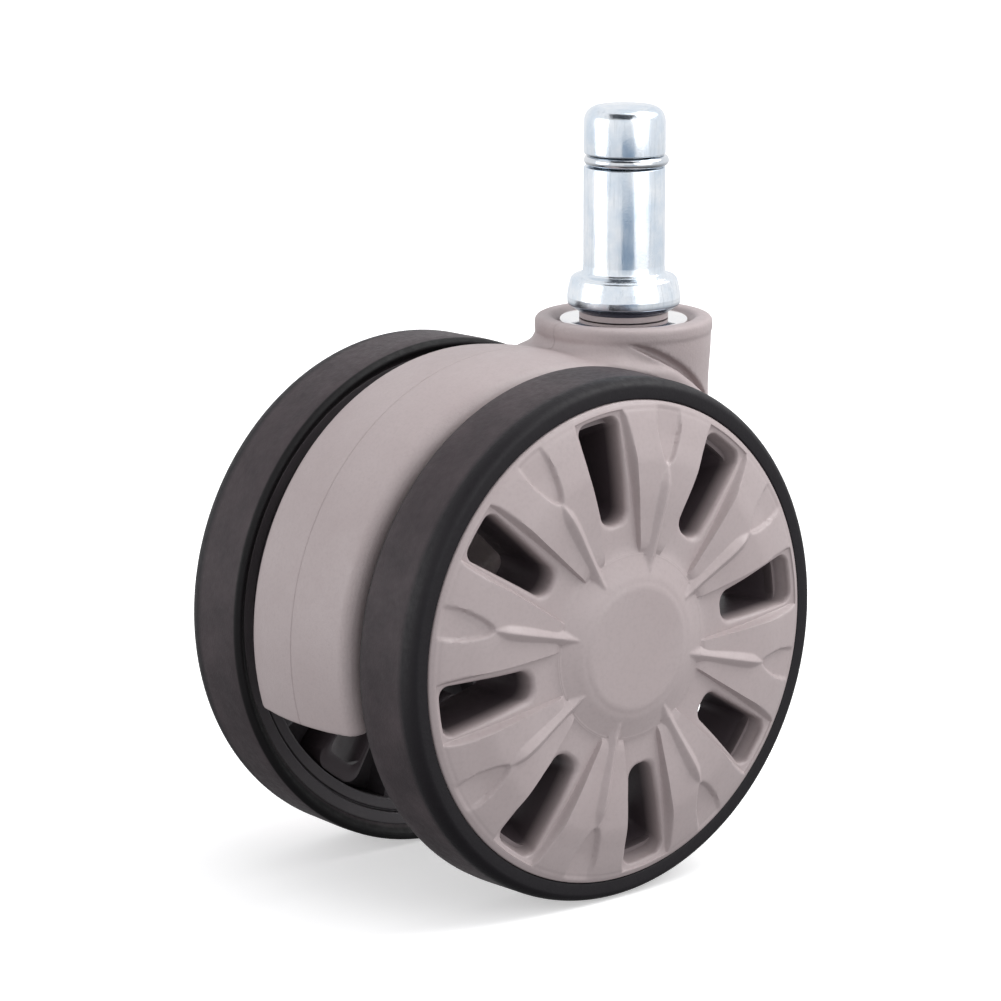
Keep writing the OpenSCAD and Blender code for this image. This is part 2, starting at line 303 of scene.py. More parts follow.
def rubber(name, colour, shade):
    """Soft tread: dark, satin, with a fine open grain, a dusty bloom in patches, and painted shade
    at its inner edge and outer shoulder.
    """
    n = Nodes(name)
    bloom = n.span(n.noise(6.0, 5.0, 0.6), 0.35, 0.75, 0.0, 1.0)
    tint = n.mix(bloom, colour, shade)
    across = n.add("ShaderNodeSeparateXYZ", {"Vector": n.place}).outputs["Y"]
    across = n.add("ShaderNodeMath", {0: across}, operation="ABSOLUTE").outputs[0]
    # Painted shade: the tread's inner edge, by the gap between the wheels, is painted near black.
    inner = n.span(across, (TYRE_IN + 0.6) * MM, (TYRE_IN + 0.9) * MM, 1.0, 0.0)
    tint = n.mix(inner, tint, linear(14, 12, 14))
    # Painted shade: the outer shoulder is painted darker than the tread.
    shoulder = n.span(across, (TYRE_OUT - 2.6) * MM, (TYRE_OUT - 1.7) * MM, 0.0, 1.0)
    tint = n.mix(shoulder, tint, linear(24, 21, 25))
    grain = n.bump(n.noise(0.30, 3.0, 0.6), 0.030)
    soft = n.bump(n.noise(2.4, 3.0), 0.02, grain)
    rough = n.span(n.noise(0.8, 3.0), 0.3, 0.7, 0.46, 0.60)
    return n.finish(Base_Color=tint, Roughness=rough, Normal=soft, Specular_IOR_Level=0.24)


def plated_steel(name, colour, tint, roughness, drawn=1.0, painted_shade_below=None):
    """Bright plated steel: cloudy blue-white plating, drawing lines and tiny pits.

    Below the given height the plating is painted a dull dark blue-grey: painted shade and painted
    dark reflection under the collar.
    """
    n = Nodes(name)
    cloud = n.span(n.noise(4.0, 4.0, 0.6), 0.35, 0.7, 0.0, 1.0)
    colour = n.mix(cloud, colour, tint)
    if painted_shade_below is not None:
        height = n.add("ShaderNodeSeparateXYZ", {"Vector": n.place}).outputs["Z"]
        under = n.span(height, (painted_shade_below - 0.4) * MM, (painted_shade_below + 0.3) * MM, 1.0, 0.0)
        # Painted shade and painted dark reflection on the plating under the collar.
        colour = n.mix(under, colour, linear(58, 70, 90))
    streak = n.noise(0.35, 3.0, 0.6, (1, 1, 0.06))
    pits = n.noise(0.25, 2.0)
    colour = n.mix(n.span(streak, 0.52, 0.75, 0.0, 0.22 * drawn), colour, linear(140, 156, 172))
    lines = n.bump(streak, 0.008 * drawn)
    normal = n.bump(pits, 0.005, lines)
    rough = n.span(n.noise(1.5, 4.0, 0.65, (1, 1, 0.4)), 0.3, 0.7, roughness * 0.7, roughness * 1.5)
    return n.finish(Base_Color=colour, Roughness=rough, Normal=normal, Metallic=1.0)


MATERIALS = {
    # The stem's plating is painted darker below -3.7 mm, as painted shade and dark reflection under
    # the collar.
    "zinc_plate": plated_steel(
        "zinc_plate", linear(234, 238, 242), linear(208, 220, 232), 0.19, painted_shade_below=-3.7),
    "spring_steel": plated_steel(
        "spring_steel", linear(226, 226, 226), linear(205, 212, 220), 0.15),
    "dark_steel": plated_steel("dark_steel", linear(120, 118, 118), linear(92, 92, 96), 0.32),
    "bush_steel": plated_steel(
        "bush_steel", linear(240, 238, 236), linear(228, 228, 230), 0.07, 0.0),
    "axle_steel": plated_steel("axle_steel", linear(206, 208, 210), linear(190, 192, 196), 0.22),
    "taupe_plastic": moulded_plastic(
        "taupe_plastic", linear(177, 165, 165), linear(171, 158, 158), 0.50, 0.24, 0.030),
    # The cover's deep colour is painted shade, which darkens the walls of the slot tubes with
    # depth.
    "cover_plastic": moulded_plastic(
        "cover_plastic", linear(178, 166, 166), linear(174, 161, 161), 0.44, 0.30, 0.008,
        deep=linear(72, 63, 67)),
    "charcoal_plastic": moulded_plastic(
        "charcoal_plastic", linear(84, 79, 82), linear(76, 72, 75), 0.42, 0.25, 0.010),
    "tread": rubber("tread", linear(52, 45, 48), linear(70, 61, 64)),
    "white_nylon": moulded_plastic(
        "white_nylon", linear(228, 226, 218), linear(222, 219, 209), 0.38, 0.25, 0.006),
}


# ---- Wheel cover ----

SLOTS = 8
SLOT_A = math.radians(8.0)
SLOT_HALF_A = math.radians(6.5)
SECTOR_A = math.pi / SLOTS
FACE_EDGE_R = COVER_R - 0.2
HUB_GRID_R = 10.9

# Distance of each surface from the middle plane, less that of the flat hub disc, by radius
PETAL = curve([(10.9, -1.12), (11.05, -1.15), (11.2, -1.20), (11.35, -1.16), (11.8, -0.98),
               (12.6, -0.86), (14.8, -0.80), (18, -0.70), (21.6, -0.85), (25, -1.66),
               (27.7, -2.52), (28.05, -2.70), (28.4, -2.84), (28.75, -3.06)])
CHANNEL = curve([(10.9, -1.12), (11.4, -1.27), (12.2, -1.44), (15, -1.55),
                 (19, -1.75), (23, -2.28), (26, -2.80), (27.5, -3.02), (28.05, -2.94),
                 (28.3, -2.88), (28.75, -3.06)])
HUB = curve([(0, 0), (6.95, 0), (7.35, -0.04), (7.85, -0.17), (8.4, -0.28), (9.5, -0.65),
             (10.9, -1.12)])
RIB_CREST = curve([(8.0, -0.60), (8.6, -0.44), (9.3, -0.42), (10, -0.50), (12, -0.44),
                   (14.8, -0.26), (18, -0.04), (19.5, -0.10), (20.6, -0.40), (21.6, -0.86)])
UNDERSIDE = curve([(0, -2.2), (12, -2.9), (20, -3.4), (25, -4.3), (27, -4.95), (29, -4.95)])
RECESS_DEPTH = curve([(21, 0.62), (25, 0.62), (27, 0.42), (28, 0.22), (28.6, 0)])
WALL_W = curve([(11, 0.16), (14, 0.22), (20, 0.40), (24, 0.60), (27, 0.50), (28.2, 0.22)])


def channel_half_w(r):
    """Half of the width of the channel that holds a slot."""
    return 2.64 + (r - 11.2) * 0.0515


def slot_half_w(r):
    return r * math.sin(SLOT_HALF_A)


def even(n, ends=0.0):
    """n values from 0, up to but not 1, closer together near both ends as ends grows."""
    x = np.arange(n) / n
    return x - ends * np.sin(2 * math.pi * x) / (2 * math.pi)


N_SIDE, N_OUTER, N_INNER = 112, 36, 40


def end_of_loop(r_corner, r_end, half_w, corner, count):
    """Points from one corner of a slot's end round to the other: radius and sideways distance."""
    towards = 1 if r_end > r_corner else -1
    n_arc = count // 3 if corner else 0
    arc = np.arange(n_arc) / max(n_arc, 1) * math.pi / 2
    r_arc = r_corner + towards * abs(r_end - r_corner) * np.sin(arc)
    t_arc = half_w - corner * (1 - np.cos(arc))
    flat = np.linspace(1, -1, count - 2 * n_arc + 1)
    t_flat = flat * (half_w - corner)
    r = np.concatenate([r_arc, np.full(len(flat), r_end), r_arc[::-1]])[:count]
    t = np.concatenate([t_arc, t_flat, -t_arc[::-1]])[:count]
    return r, t


def loop(r0, r1, half_w, corner0=0.0, corner1=0.0):
    """A closed loop of points about a slot, as (radius, angle from the slot's centre line)."""
    r_side = r0 + corner0 + (r1 - corner1 - r0 - corner0) * even(N_SIDE, 0.75)
    outer_w = float(half_w(r1 - corner1))
    inner_w = float(half_w(r0 + corner0))
    r_out, t_out = end_of_loop(r1 - corner1, r1, outer_w, corner1, N_OUTER)
    back = r1 - corner1 + (r0 + corner0 - r1 + corner1) * even(N_SIDE, 0.75)
    r_in, t_in = end_of_loop(r0 + corner0, r0, inner_w, min(corner0, inner_w), N_INNER)
    r = np.concatenate([r_side, r_out, back, r_in])
    t = np.concatenate([half_w(r_side), t_out, -half_w(back), -t_in])
    return np.stack([r, t / r], -1)


def smooth_max(a, b, k):
    """The larger of two heights, blended where they are within k."""
    h = np.clip(0.5 + 0.5 * (a - b) / k, 0, 1)
    return b + (a - b) * h + k * h * (1 - h)


def recess(r, s):
    """Depth of a petal's shallow recess, open to the rim and round at its inner end."""
    half_w, tip_r, run = 2.05, 21.7, 4.6
    square_w = half_w ** 2 * np.minimum((r - tip_r) / run, 1)
    inside = (square_w - s ** 2) / (2 * np.hypot(half_w ** 2 / (2 * run), s))
    return RECESS_DEPTH(r) * ease(inside / 0.38)


def face_height(r, angle, lift):
    """Face of the cover: lift is 0 in a channel and 1 on a petal."""
    off_centre = r * (SECTOR_A - np.abs(angle))
    outside = r > HUB_GRID_R
    petal = PETAL(r) - np.where(outside, recess(r, off_centre), 0.0)
    base = np.where(outside, CHANNEL(r) + (petal - CHANNEL(r)) * lift, HUB(r))
    rib = RIB_CREST(r) - 0.85 * (np.sqrt(off_centre ** 2 + 0.14 ** 2) - 0.14)
    ribbed = smooth_max(base, rib, 0.06)
    return COVER_OUT + np.where((r > 8.0) & (r < 21.7), ribbed, base)


def cover_rings():
    """Rings of (radius, angle, w) about one slot, from the sector's edge in, down and back out."""
    def mixed(a, b, x):
        return a + (b - a) * x

    slot = loop(14.95, 27.45, slot_half_w, 1.75, 1.2)
    lip = loop(14.40, 27.78, lambda r: mixed(slot_half_w(r), channel_half_w(r), 0.62), 2.0, 1.3)
    floor = loop(11.32, 28.05, channel_half_w)
    crest = loop(11.15, 28.20, lambda r: channel_half_w(r) + WALL_W(r))
    edge = loop(HUB_GRID_R, FACE_EDGE_R, lambda r: r * SECTOR_A)
    mouth = loop(15.15, 24.2, lambda r: slot_half_w(r) - 0.12, 1.6, 1.1)
    outside = loop(14.35, 26.35, lambda r: slot_half_w(r) + 0.70, 2.2, 1.6)
    under_edge = loop(HUB_GRID_R, FACE_EDGE_R, lambda r: r * SECTOR_A)

    rings = []

    def put(plan, w):
        rings.append(np.concatenate([plan, np.broadcast_to(w, (len(plan),))[:, None]], -1))

    for x in 1 - even(30, 0.0) ** 1.15:
        plan = mixed(crest, edge, x)
        put(plan, face_height(plan[:, 0], plan[:, 1], 1.0))
    for x in 1 - np.arange(8) / 8:
        plan = mixed(floor, crest, x)
        put(plan, face_height(plan[:, 0], plan[:, 1], 0.5 * x + 0.5 * ease(x)))
    for x in 1 - np.arange(7) / 7:
        plan = mixed(lip, floor, x)
        put(plan, face_height(plan[:, 0], plan[:, 1], 0.0))
    lip_w = face_height(lip[:, 0], lip[:, 1], 0.0)
    fillet = 0.75
    for beta in np.radians(90 - 11.25 * np.arange(9)):
        put(mixed(slot, lip, 1 - math.cos(beta)), lip_w - fillet * (1 - math.sin(beta)))
    wall_top = lip_w - fillet
    deep = TUBE_IN + 0.15
    for x in (0.1, 0.25, 0.45, 0.7, 1.0):
        put(mixed(slot, mouth, x), mixed(wall_top, deep, x))
    put(mixed(mouth, outside, 0.2), TUBE_IN)
    put(mixed(mouth, outside, 0.8), TUBE_IN)
    put(outside, deep)
    under = COVER_OUT + UNDERSIDE(outside[:, 0])
    for x in (0.3, 0.6, 0.94):
        put(outside, mixed(deep, under, x))
    for x in (0.03, 0.25, 0.5, 0.75, 1.0):
        plan = mixed(outside, under_edge, x)
        put(plan, COVER_OUT + UNDERSIDE(plan[:, 0]))
    return np.array(rings)


def circle_rings(radii, angles, height):
    """Rings about the axle at those radii, each through the same angles round all sectors."""
    rings = []
    for r in radii:
        w = height(np.full(len(angles), float(r)), angles)
        rings.append(np.stack([np.full(len(angles), float(r)), angles, w], -1))
    sectors = [np.array(rings) + (0, 2 * SECTOR_A * k, 0) for k in range(SLOTS)]
    return np.concatenate(sectors, 1)


def cover(name, side):
    """The slotted cover: face with petals, ribs and recesses, slot tubes, rim and back."""
    verts, faces = [], []

    def put(grid):
        first = sum(len(v) for v in verts)
        angle = SLOT_A + grid[..., 1]
        r = grid[..., 0]
        flat = np.stack([r * np.cos(angle), r * np.sin(angle), grid[..., 2]], -1).reshape(-1, 3)
        verts.append(flat)
        faces.extend(grid_faces(grid.shape[0], grid.shape[1], False, True, first))
        return first

    sector = cover_rings()
    for k in range(SLOTS):
        put(sector + (0, 2 * SECTOR_A * k, 0))
    inner_a = -SECTOR_A + 2 * SECTOR_A * np.arange(N_INNER) / N_INNER
    outer_a = -SECTOR_A + 2 * SECTOR_A * np.arange(N_OUTER) / N_OUTER
    hub_radii = np.concatenate([np.linspace(HUB_GRID_R, 6.9, 25), [6, 4.5, 3, 1.5, 0.4]])
    face = circle_rings(hub_radii, inner_a, lambda r, a: face_height(r, a, 1.0))
    back = circle_rings(hub_radii, inner_a, lambda r, a: COVER_OUT + UNDERSIDE(r))
    for grid in (face, back):
        end = put(grid) + grid.shape[0] * grid.shape[1]
        faces.append(list(range(end - grid.shape[1], end)))
    rim_top = float(face_height(np.array([FACE_EDGE_R]), np.array([0.0]), 0.0)[0])
    rim_low = COVER_OUT + float(UNDERSIDE(FACE_EDGE_R))
    rim = [(FACE_EDGE_R, rim_top), (FACE_EDGE_R + 0.12, rim_top - 0.08), (COVER_R, rim_top - 0.25),
           (COVER_R, rim_top - 0.9), (COVER_R, rim_low + 0.1), (FACE_EDGE_R, rim_low)]
    rows = np.empty((len(rim), len(outer_a), 3))
    rows[..., 0] = np.array([r for r, w in rim])[:, None]
    rows[..., 1] = outer_a
    rows[..., 2] = np.array([w for r, w in rim])[:, None]
    put(np.concatenate([rows + (0, 2 * SECTOR_A * k, 0) for k in range(SLOTS)], 1))
    points = on_axle(np.concatenate(verts), side)
    piece = add_piece(name + "_cover_shell", points, faces, name + "_wheel", [name + "_cover"],
                      "cover_plastic", merge=0.002)
    mark_slot_shade(piece)
    return sharpen(piece, 50)


def mark_slot_shade(piece):
    """Stores how deep each point lies below the cover's face, from 0 to 1, for the material's
    painted shade inside the slots.
    """
    points = np.array([v.co for v in piece.data.vertices]) * M
    r = np.hypot(points[:, 0] - AXLE_X, points[:, 2] - AXLE_Z)
    below = COVER_OUT + CHANNEL(r) - 0.35 - np.abs(points[:, 1])
    inside = (r > 12.0) & (r < 28.3)
    depth = np.where(inside, ease(below / 2.8), 0.0)
    piece.data.attributes.new("depth", "FLOAT", "POINT").data.foreach_set(
        "value", depth.astype(np.float32))


# ---- Tyre ----

def tyre(name, side):
    """Soft tread with a crowned face, a full outer shoulder and a lip over the inner rim."""
    across, along = 1.2, 2.0
    shoulder = [(WHEEL_R - across - 0.1 + across * math.cos(b),
                 TYRE_OUT - along + along * math.sin(b))
                for b in np.radians(np.linspace(4, 88, 14))]
    outline = rounded([
        (RIM_R, RIM_FACE + 1.0, 0), (RIM_R, RIM_FACE + RIM_FLANGE, 0.1),
        (RIM_FLANGE_R, RIM_FACE + RIM_FLANGE, 0.1), (RIM_FLANGE_R, RIM_FACE, 0.12),
        (WHEEL_R - 0.75, TYRE_IN, 0.45),
        (WHEEL_R - 0.03, TYRE_IN + 0.55, 0.55), (WHEEL_R + 0.03, TYRE_IN + 2.0, 20),
        (WHEEL_R - 0.1, TYRE_OUT - 2.4, 0)])
    outline += shoulder
    outline += rounded([shoulder[-1] + (0,), (RIM_R + 0.02, TYRE_OUT - 0.02, 0.2),
                        (RIM_R, TYRE_OUT - 1.7, 0)])[1:]
    verts, faces = lathe(outline, 360)
    return add_piece(name + "_tread", on_axle(verts, side), faces, name + "_wheel",
                     [name + "_tyre"], "tread")


# ---- Wheel core ----

CUP_R = 26.6
STEP_R = 28.0
DISC_T = 2.0
HUB_R = 6.6
HUB_END = 19.0
HUB_START = -CORE_HI.y
BORE_R = 4.42


def combine(piece, other, operation):
    """Joins another mesh to the piece, or cuts it out, for good."""
    modifier = piece.modifiers.new("combine", "BOOLEAN")
    modifier.operation = operation
    modifier.solver = "EXACT"
    modifier.object = other
    settle(piece)
    bpy.data.objects.remove(other)


def settle(piece):
    """Applies a piece's modifiers to its mesh."""
    graph = bpy.context.evaluated_depsgraph_get()
    mesh = bpy.data.meshes.new_from_object(piece.evaluated_get(graph))
    piece.modifiers.clear()
    piece.data = mesh


def plain_object(name, verts, faces):
    """A helper mesh in millimetres that isn't a piece."""
    mesh = bpy.data.meshes.new(name)
    mesh.from_pydata((np.asarray(verts, float) * MM).tolist(), [], [list(f) for f in faces])
    bm = bmesh.new()
    bm.from_mesh(mesh)
    bmesh.ops.remove_doubles(bm, verts=bm.verts, dist=0.001 * MM)
    bmesh.ops.recalc_face_normals(bm, faces=bm.faces)
    bm.to_mesh(mesh)
    bm.free()
    helper = bpy.data.objects.new(name, mesh)
    bpy.context.scene.collection.objects.link(helper)
    return helper


def prism(plan, w0, w1, side):
    """A prism on the axle from a plan of (x, y) points, between two distances from the middle."""
    plan = np.asarray(plan)
    count = len(plan)
    low = np.concatenate([plan, np.full((count, 1), w0)], 1)
    high = np.concatenate([plan, np.full((count, 1), w1)], 1)
    faces = grid_faces(2, count, False, True)
    faces += [list(range(count))[::-1], list(range(count, 2 * count))]
    return on_axle(np.concatenate([low, high]), side), faces


def turned(plan, angle):
    """A plan of (x, y) points turned about the axle."""
    c, s = math.cos(angle), math.sin(angle)
    plan = np.asarray(plan)
    return plan @ np.array([[c, s], [-s, c]])


def window_plan():
    """Outline of one window of the disc, which lets a slot's tube through."""
    plan = loop(14.05, 26.5, lambda r: slot_half_w(r) + 0.95, 2.4, 1.6)[::6]
    return np.stack([plan[:, 0] * np.cos(plan[:, 1]), plan[:, 0] * np.sin(plan[:, 1])], -1)


def rib_plan():
    """Outline of one rib, which is rooted in the hub and in the cup's wall."""
    half_t, root = 0.8, 0.5
    r0, r1 = HUB_R - root, CUP_R + root
    return [(r0, -half_t), (r1, -half_t), (r1, half_t), (r0, half_t)]


def wheel_core(name, side):
    """Cup with two rim steps, a windowed disc, eight ribs and a hub."""
    disc_face = RIM_BACK - DISC_T
    outline = rounded([
        (CUP_R, disc_face + 0.4, 0), (CUP_R, RIM_FACE + 0.35, 0.3),
        (STEP_R - 0.05, RIM_FACE + 0.35, 0.12), (STEP_R, RIM_FACE + 0.75, 0.1),
        (STEP_R + 0.25, RIM_FACE + 0.75, 0.1), (STEP_R + 0.3, RIM_FACE, 0.2),
        (RIM_FLANGE_R, RIM_FACE, 0.1), (RIM_FLANGE_R, RIM_FACE + RIM_FLANGE, 0.1),
        (RIM_R, RIM_FACE + RIM_FLANGE, 0.1), (RIM_R, RIM_BACK, 0.2), (HUB_R + 0.6, RIM_BACK, 0.3),
        (HUB_R + 0.1, HUB_END, 0.2), (BORE_R, HUB_END, 0.1), (BORE_R, HUB_START, 0.15),
        (HUB_R - 0.2, HUB_START, 0.3), (HUB_R, disc_face, 1.0), (CUP_R, disc_face, 0.5),
        (CUP_R, disc_face + 0.4, 0)], 5)[:-1]
    verts, faces = lathe(outline, 240)
    body = plain_object(name + "_core_body", on_axle(verts, side), faces)
    for k in range(SLOTS):
        plan = turned(rib_plan(), SLOT_A + SECTOR_A * (2 * k + 1))
        rib = plain_object("rib", *prism(plan, RIM_FACE + 1.6, disc_face + 0.6, side))
        combine(body, rib, "UNION")
    for k in range(SLOTS):
        plan = turned(window_plan(), SLOT_A + 2 * SECTOR_A * k)
        window = plain_object("window", *prism(plan, disc_face - 0.3, RIM_BACK + 1, side))
        combine(body, window, "DIFFERENCE")
    bevel = body.modifiers.new("edges", "BEVEL")
    bevel.width = 0.12 * MM
    bevel.segments = 2
    bevel.limit_method = "ANGLE"
    bevel.angle_limit = math.radians(50)
    settle(body)
    points = np.array([v.co for v in body.data.vertices]) * M
    polygons = [list(p.vertices) for p in body.data.polygons]
    bpy.data.objects.remove(body)
    piece = add_piece(name + "_core_cup", points, polygons, name + "_wheel",
                      [name + "_wheel_core"], "charcoal_plastic")
    return sharpen(piece, 35)


# ---- Stem ----

GROOVE_LOW = 12.9
GROOVE_TOP = 14.5
STEM_R = 5.0
GROOVE_R = 3.85
SHANK_R = 4.0
CLIP_LOW = -27.55
CLIP_TOP = -26.65
COLLAR_FOOT = -4.9


def stem():
    """Turned and plated stem: bevelled collar, flare, shaft, ring groove and domed head."""
    outline = rounded([
        (0, STEM_BOTTOM, 0), (SHANK_R, STEM_BOTTOM, 0.6), (SHANK_R, CLIP_LOW, 0.05),
        (SHANK_R - 0.7, CLIP_LOW, 0.05), (SHANK_R - 0.7, CLIP_TOP, 0.05), (SHANK_R, CLIP_TOP, 0.05),
        (SHANK_R, COLLAR_FOOT, 0.05),
        (5.45, COLLAR_FOOT, 0.15), (COLLAR_R - 0.05, COLLAR_FOOT + 0.98, 0.3),
        (COLLAR_R, -3.0, 0.8), (COLLAR_R - 0.13, -1.95, 0.8), (6.5, -0.76, 0.42),
        (6.14, -0.48, 0.08), (6.04, -0.56, 0.04), (5.93, -0.42, 0.08), (STEM_R + 0.06, -0.12, 0.6),
        (STEM_R, 0.9, 0.3), (STEM_R, GROOVE_LOW, 0.16), (GROOVE_R, GROOVE_LOW + 0.03, 0.1),
        (GROOVE_R, GROOVE_TOP - 0.03, 0.1),
        (STEM_R, GROOVE_TOP, 0.16), (STEM_R - 0.03, STEM_TOP - 0.3, 1.8), (0, STEM_TOP, 0)], 8)
    verts, faces = lathe(outline, 256, closed=False)
    piece = add_piece("stem_turned", verts, faces, "stem", ["stem"], "zinc_plate", 0.002)
    return sharpen(piece, 60)


def grip_ring():
    """Split spring ring, which sits a little off centre in its groove."""
    wire_r = 0.65
    middle_r = STEM_R + 0.2 - wire_r
    off_centre = Vector((0.17, -0.14, 0.0))
    gap_a = 30.0
    turns, around = 200, 24
    sweep = np.radians(np.linspace(gap_a / 2, 360 - gap_a / 2, turns))
    spin = 2 * math.pi * np.arange(around) / around
    reach = middle_r + wire_r * np.cos(spin)
    grid = np.empty((turns, around, 3))
    grid[..., 0] = np.cos(sweep)[:, None] * reach + off_centre.x
    grid[..., 1] = np.sin(sweep)[:, None] * reach + off_centre.y
    grid[..., 2] = (GROOVE_LOW + GROOVE_TOP) / 2 + wire_r * np.sin(spin)
    faces = grid_faces(turns, around, False, True)
    faces += [list(range(around)), list(range((turns - 1) * around, turns * around))]
    piece = add_piece("grip_ring_wire", grid.reshape(-1, 3), faces, "stem", ["grip_ring"],
                      "spring_steel")
    return sharpen(piece, 50)


def swivel_bush():
    """Pressed steel bush with a polished flange in the top of the boss."""
    flange_r, bore_r = 7.95, 4.05
    flange_low = BUSH_TOP - BUSH_FLANGE_T
    outline = rounded([
        (bore_r, BUSH_TOP - 3, 0), (bore_r, BUSH_TOP, 0.35), (flange_r, BUSH_TOP, 0.35),
        (flange_r, flange_low, 0.2), (SLEEVE_R, flange_low, 0.1), (SLEEVE_R, BUSH_LO.z, 0.1),
        (bore_r, BUSH_LO.z, 0.1), (bore_r, BUSH_TOP - 3.5, 0)], 5)
    verts, faces = lathe(outline)
    piece = add_piece("swivel_bush_flange", verts, faces, "housing", ["swivel_bush"], "bush_steel")
    return sharpen(piece, 50)


# ---- Housing ----

HOOD_IN_R = HOOD_R - 3.4
HOOD_HALF_W = 9.5
HOOD_MIDDLE = 0.4
HOOD_START_A = math.radians(44)
HOOD_END_A = math.radians(197)
LIP_R = 34.4
LIP_IN_R = 31.9
LIP_HALF_W = 11.3
LIP_START_A = math.radians(38)
LIP_FADE_A = math.radians(57)
LIP_END_A = math.radians(72)
WEB_START_A = math.radians(12)
WEB_HALF_T = 2.4
AXLE_HUB_R = 8.0
AXLE_HUB_HALF_L = 4.5
AXLE_BORE_R = 3.02
BOSS_BOTTOM = -34.0
SEAT_R = 8.05
SLEEVE_R = 5.0
BUSH_FLANGE_T = 1.2
CLIP_SPACE_R = 5.3
CLIP_SPACE_LOW = -28.1
POCKET_R = 4.3
BORE_BOTTOM = -31.2
VOXEL = 0.25


def round_max(a, b, r):
    """Where two solids with these distances meet, with the edge rounded by r."""
    outside = np.hypot(np.maximum(a + r, 0), np.maximum(b + r, 0))
    return np.minimum(np.maximum(a, b), -r) + outside


def blend_min(a, b, k):
    """Two solids joined, with a fillet of about k."""
    h = np.maximum(k - np.abs(a - b), 0) / k
    return np.minimum(a, b) - h * h * k / 4


def hood_distance(y, rho, theta):
    """Distance from the hood, the arch lip, the web and the axle's hub, as one skin."""
    side = np.abs(y)
    hood_side = np.abs(y - HOOD_MIDDLE)
    crown = HOOD_R - (hood_side / HOOD_HALF_W) ** 2
    shell = round_max(rho - crown, hood_side - HOOD_HALF_W, 1.7)
    shell = round_max(shell, HOOD_IN_R - rho, 0.5)
    past_end = rho * np.sin(theta - HOOD_END_A)
    before_start = -rho * np.sin(theta - HOOD_START_A)
    shell = round_max(shell, np.maximum(past_end, before_start), 0.45)

    runout = ease((theta - LIP_FADE_A) / (LIP_END_A - LIP_FADE_A))
    lip = round_max(rho - LIP_R + 2.6 * runout, side - LIP_HALF_W + 1.9 * runout, 1.3)
    lip = round_max(lip, LIP_IN_R - rho, 0.4)
    lip_ends = rho * np.maximum(theta - LIP_END_A, LIP_START_A - theta)
    lip = round_max(lip, lip_ends, 1.5)
    hood = blend_min(shell, lip, 3.0)

    web_ends = rho * np.maximum(theta - HOOD_END_A, WEB_START_A - theta)
    web = round_max(round_max(side - WEB_HALF_T, rho - HOOD_IN_R - 1, 0.1), web_ends, 0.5)
    hood = blend_min(hood, web, 1.2)
    axle_hub = round_max(rho - AXLE_HUB_R, side - AXLE_HUB_HALF_L, 0.4)
    return blend_min(hood, axle_hub, 1.2)


def boss_distance(r, z):
    """Distance from the stem boss, which has a step under its rim and a little draft."""
    draft = 0.3 * ease((BOSS_TOP - 2.2 - z) / 6.5)
    rim_step = 0.16 * ease((BOSS_TOP - 1.55 - z) / 0.35)
    boss = round_max(r - (BOSS_R - draft - rim_step), z - BOSS_TOP, 0.7)
    return round_max(boss, BOSS_BOTTOM - z, 3.0)


def holes_distance(r, rho, z):
    """Distance from the space of the bush, the stem, its clip and the axle."""
    mouth = r - SEAT_R - np.maximum(z - (BOSS_TOP - 0.9), 0)
    seat = np.maximum(np.minimum(r - SEAT_R, mouth), BUSH_TOP - BUSH_FLANGE_T - z)
    sleeve = np.maximum(r - SLEEVE_R - 0.02, BUSH_LO.z - z)
    clip = np.maximum(np.maximum(r - CLIP_SPACE_R, z - BUSH_LO.z), CLIP_SPACE_LOW - z)
    pocket = np.maximum(r - POCKET_R, BORE_BOTTOM - z)
    stem_holes = np.minimum(np.minimum(seat, sleeve), np.minimum(clip, pocket))
    return np.minimum(stem_holes, rho - AXLE_BORE_R)


def housing_distance(x, y, z):
    """Distance from the housing's surface, less than 0 inside."""
    px, pz = x - AXLE_X, z - AXLE_Z
    rho = np.hypot(px, pz)
    theta = np.mod(np.arctan2(pz, px) + math.pi / 2, 2 * math.pi) - math.pi / 2
    r = np.hypot(x, y)
    hood = hood_distance(y, rho, theta)
    boss = boss_distance(r, z)

    crease = ease((x + 8.0) / 4.5)
    saddle = 1.3 + 1.2 * ease((np.abs(y) - 2.0) / 4.0)
    body = blend_min(boss, hood, saddle + (0.3 - saddle) * crease)

    groove_r = 0.62 * ease((x + 8.2) / 4.5) - 0.1
    groove = np.hypot(0.45 * boss, rho - LIP_R - 0.3) - groove_r
    groove = np.maximum(groove, x - 6.0)
    body = np.maximum(body, np.where(groove_r > 0, -groove, -9.0))
    return round_max(body, -holes_distance(r, rho, z), 0.2)


def housing():
    """Moulded hood, arch lip, stem boss, web and axle hub in one skin, with a mould line."""
    margin = 6 * VOXEL
    lo = np.array(HOUSING_LO) - margin
    hi = np.array(HOUSING_HI) + margin
    axes = [np.arange(a, b, VOXEL) for a, b in zip(lo, hi)]
    x, y, z = np.meshgrid(*axes, indexing="ij", sparse=True)
    distance = housing_distance(x + 0 * y + 0 * z, y + 0 * x + 0 * z, z + 0 * x + 0 * y)
    band = 3 * VOXEL
    grid = openvdb.FloatGrid(band)
    grid.copyFromArray(np.clip(distance, -band, band).astype(np.float32))
    points, triangles, quads = grid.convertToPolygons(isovalue=0.0, adaptivity=0.0)
    points = np.asarray(points, float) * VOXEL + lo
    faces = [list(map(int, f)) for f in quads] + [list(map(int, f)) for f in triangles]
    piece = add_piece("housing_moulding", points, faces, "housing", ["housing"], "taupe_plastic")
    mould_line(piece)
    return piece


